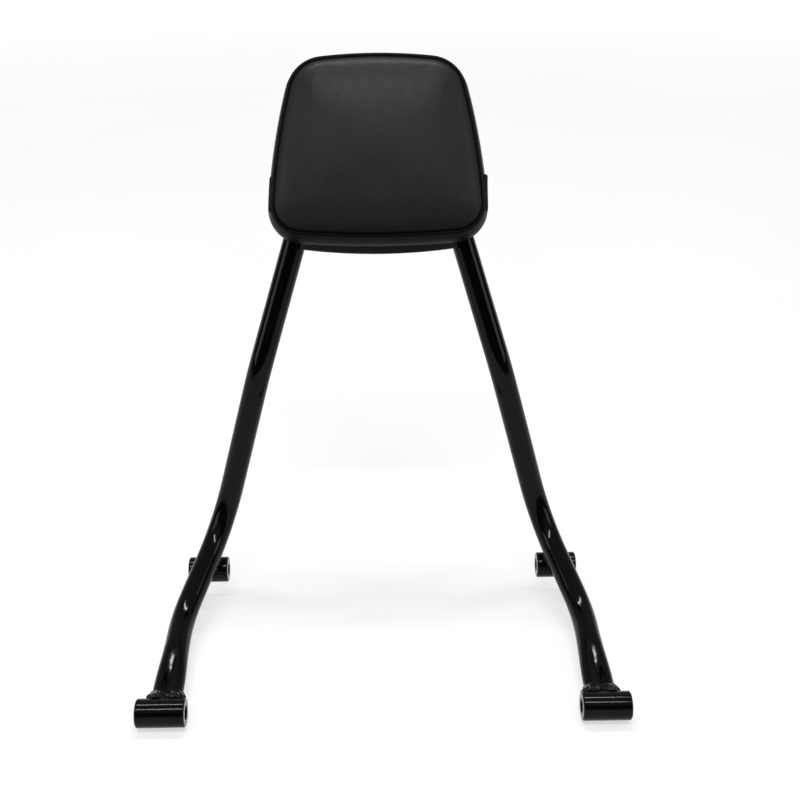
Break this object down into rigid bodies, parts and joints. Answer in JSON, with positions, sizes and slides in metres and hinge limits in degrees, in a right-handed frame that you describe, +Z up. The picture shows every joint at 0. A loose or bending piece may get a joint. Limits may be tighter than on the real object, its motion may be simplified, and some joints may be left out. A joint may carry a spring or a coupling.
{
  "type": "motorcycle sissy bar with backrest pad",
  "caption": "Bent black steel tube hoop on welded mounting sleeves that carries an upholstered passenger backrest pad behind a motorcycle seat.",
  "frame": {"origin": "midpoint between the two front sleeves, on their common axis", "axes": "+X to the rider's right along the sleeve axes, +Y to the rear of the motorcycle, +Z up"},
  "size_m": [0.3774, 0.3206, 0.4523],
  "materials": {
    "gloss_black": "gloss",
    "black_vinyl": "satin",
    "board": "matte",
    "foam": "matte",
    "zinc": "satin"
  },
  "bodies": {
    "root": {"bent_tube": "gloss_black", "pad_plate": "gloss_black", "front_sleeve_left": "gloss_black", "front_sleeve_right": "gloss_black", "rear_sleeve_left": "gloss_black", "rear_sleeve_right": "gloss_black", "front_weld_left": "gloss_black", "front_weld_right": "gloss_black", "rear_weld_left": "gloss_black", "rear_weld_right": "gloss_black", "plate_weld_left": "gloss_black", "plate_weld_right": "gloss_black", "pad_back_cover": "black_vinyl", "cover_front_panel": "black_vinyl", "cover_gusset_upper": "black_vinyl", "cover_gusset_lower": "black_vinyl", "cover_piping": "black_vinyl", "pad_base_board": "board", "pad_foam": "foam", "tee_nuts": "zinc", "pad_screws": "zinc", "plain_washers": "zinc", "lock_washers": "zinc"}
  },
  "joints": []
}
